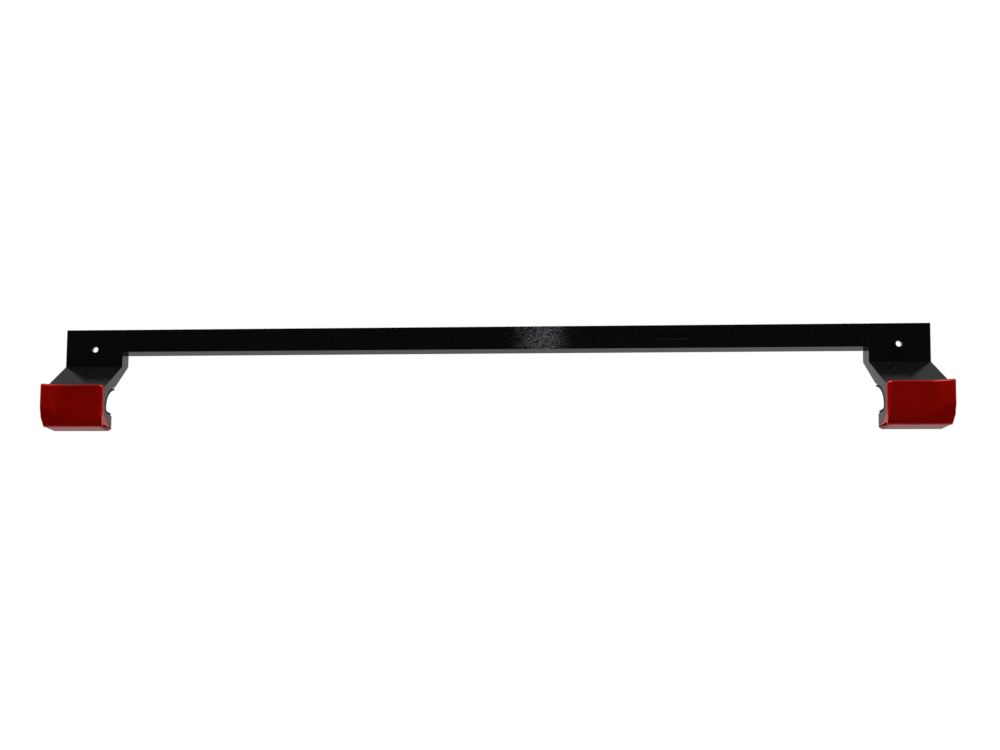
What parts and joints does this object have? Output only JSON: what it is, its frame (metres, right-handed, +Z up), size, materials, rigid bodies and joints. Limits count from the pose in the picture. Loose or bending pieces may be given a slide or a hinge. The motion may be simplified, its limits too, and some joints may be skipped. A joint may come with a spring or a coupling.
{
  "type": "cross bar with saddle hook ends",
  "caption": "Gloss black moulded cross bar with a screw tab and a forward saddle hook at each end, each hook under a metallic red push-on cover.",
  "frame": {"origin": "centre of the bounding box, on the left-right mirror plane", "axes": "+X to the right along the bar, +Y to the rear, the side that is screwed on, +Z up from the hooks to the bar"},
  "size_m": [0.348, 0.023, 0.0442],
  "materials": {
    "gloss_black": "high-gloss moulded black, with a faint moulding texture",
    "metallic_red": "metallic red lacquer under a clear coat",
    "black_rubber": "matt, thin moulded strip",
    "black_steel": "blackened steel screw"
  },
  "bodies": {
    "root": {"cross_bar": "gloss_black", "left_bracket": "gloss_black", "right_bracket": "gloss_black", "left_cover": "metallic_red", "right_cover": "metallic_red", "left_saddle_liner": "black_rubber", "right_saddle_liner": "black_rubber", "left_bar_screw_inner": "black_steel", "left_bar_screw_outer": "black_steel", "right_bar_screw_inner": "black_steel", "right_bar_screw_outer": "black_steel"}
  },
  "joints": []
}
